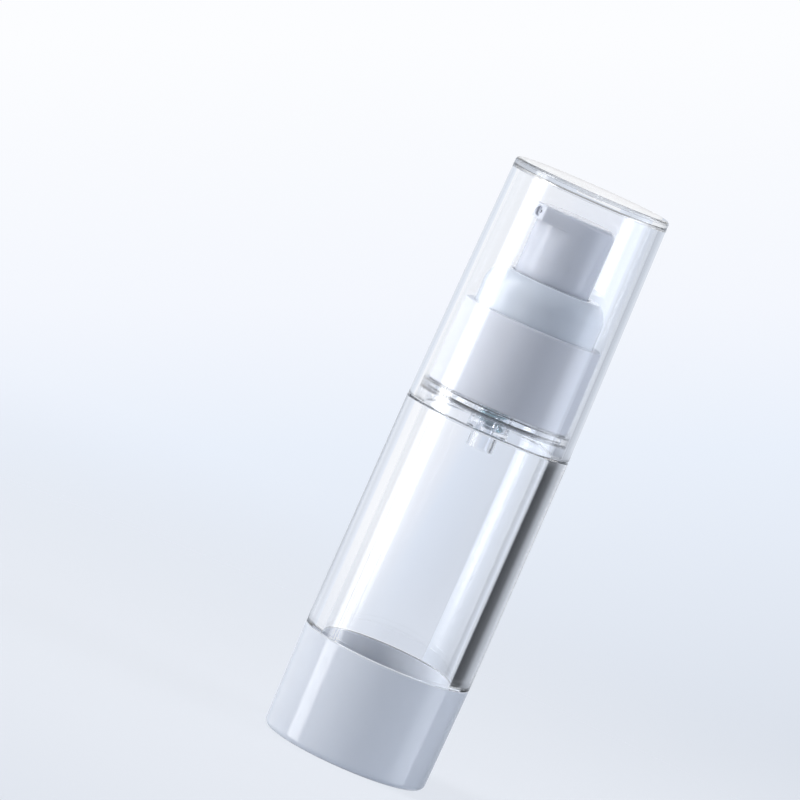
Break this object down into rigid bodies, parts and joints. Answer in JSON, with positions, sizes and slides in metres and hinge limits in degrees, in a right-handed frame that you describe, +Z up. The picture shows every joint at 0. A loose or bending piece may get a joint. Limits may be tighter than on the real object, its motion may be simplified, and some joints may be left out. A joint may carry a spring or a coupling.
{
  "type": "airless pump bottle",
  "caption": "Cylindrical airless pump bottle: thick clear barrel in a white base cup, press-down pump with a short snout under a clear lift-off overcap, and a follower piston.",
  "frame": {"origin": "on the bottle's axis, at the underside of the base's foot ring", "axes": "+Z up the bottle's axis to the overcap, -Y the way the snout points at rest, +X to the right of the snout's user"},
  "size_m": [0.033, 0.033, 0.1155],
  "materials": {
    "clear_plastic": "polished, water clear",
    "white_polypropylene": "moulded, satin gloss",
    "pale_polypropylene": "moulded, satin gloss, pale cool grey",
    "natural_polypropylene": "moulded, milky and translucent",
    "soft_polyethylene": "moulded, soft and matt",
    "spring_steel": "bright drawn wire",
    "glass_ball": "polished"
  },
  "bodies": {
    "bottle": {"bottle_barrel": "clear_plastic", "base_cup": "white_polypropylene", "closure_dome": "natural_polypropylene", "collar_sleeve": "pale_polypropylene", "pump_housing": "natural_polypropylene", "gland_ring": "white_polypropylene", "stem_seal": "soft_polyethylene", "neck_gasket": "soft_polyethylene", "return_spring": "spring_steel"},
    "cap": {"overcap": "clear_plastic"},
    "pump_rod": {"stem": "white_polypropylene", "piston_rod": "white_polypropylene"},
    "push_button": {"actuator": "pale_polypropylene"},
    "dosing": {"dosing_piston": "soft_polyethylene"},
    "inlet_valve": {"inlet_ball": "glass_ball"},
    "follower": {"follower_piston": "soft_polyethylene"}
  },
  "joints": [
    {"name": "cap_lift", "type": "slide", "parent": "bottle", "child": "cap", "axis": [0, 0, 1], "range_m": [0, 0.048]},
    {"name": "pump_stroke", "type": "slide", "parent": "bottle", "child": "pump_rod", "axis": [0, 0, -1], "range_m": [0, 0.0045], "stiffness_N_per_m": 1000, "springref_m": -0.004, "deforming": ["return_spring"]},
    {"name": "head_swivel", "type": "hinge", "parent": "pump_rod", "child": "push_button", "pos_m": [0, 0, 0.1], "axis": [0, 0, 1], "continuous": true},
    {"name": "dosing_lost_motion", "type": "slide", "parent": "pump_rod", "child": "dosing", "axis": [0, 0, 1], "range_m": [0, 0.00065]},
    {"name": "ball_lift", "type": "slide", "parent": "bottle", "child": "inlet_valve", "axis": [0, 0, 1], "range_m": [0, 0.0007]},
    {"name": "follower_rise", "type": "slide", "parent": "bottle", "child": "follower", "axis": [0, 0, 1], "range_m": [0, 0.0556]}
  ]
}
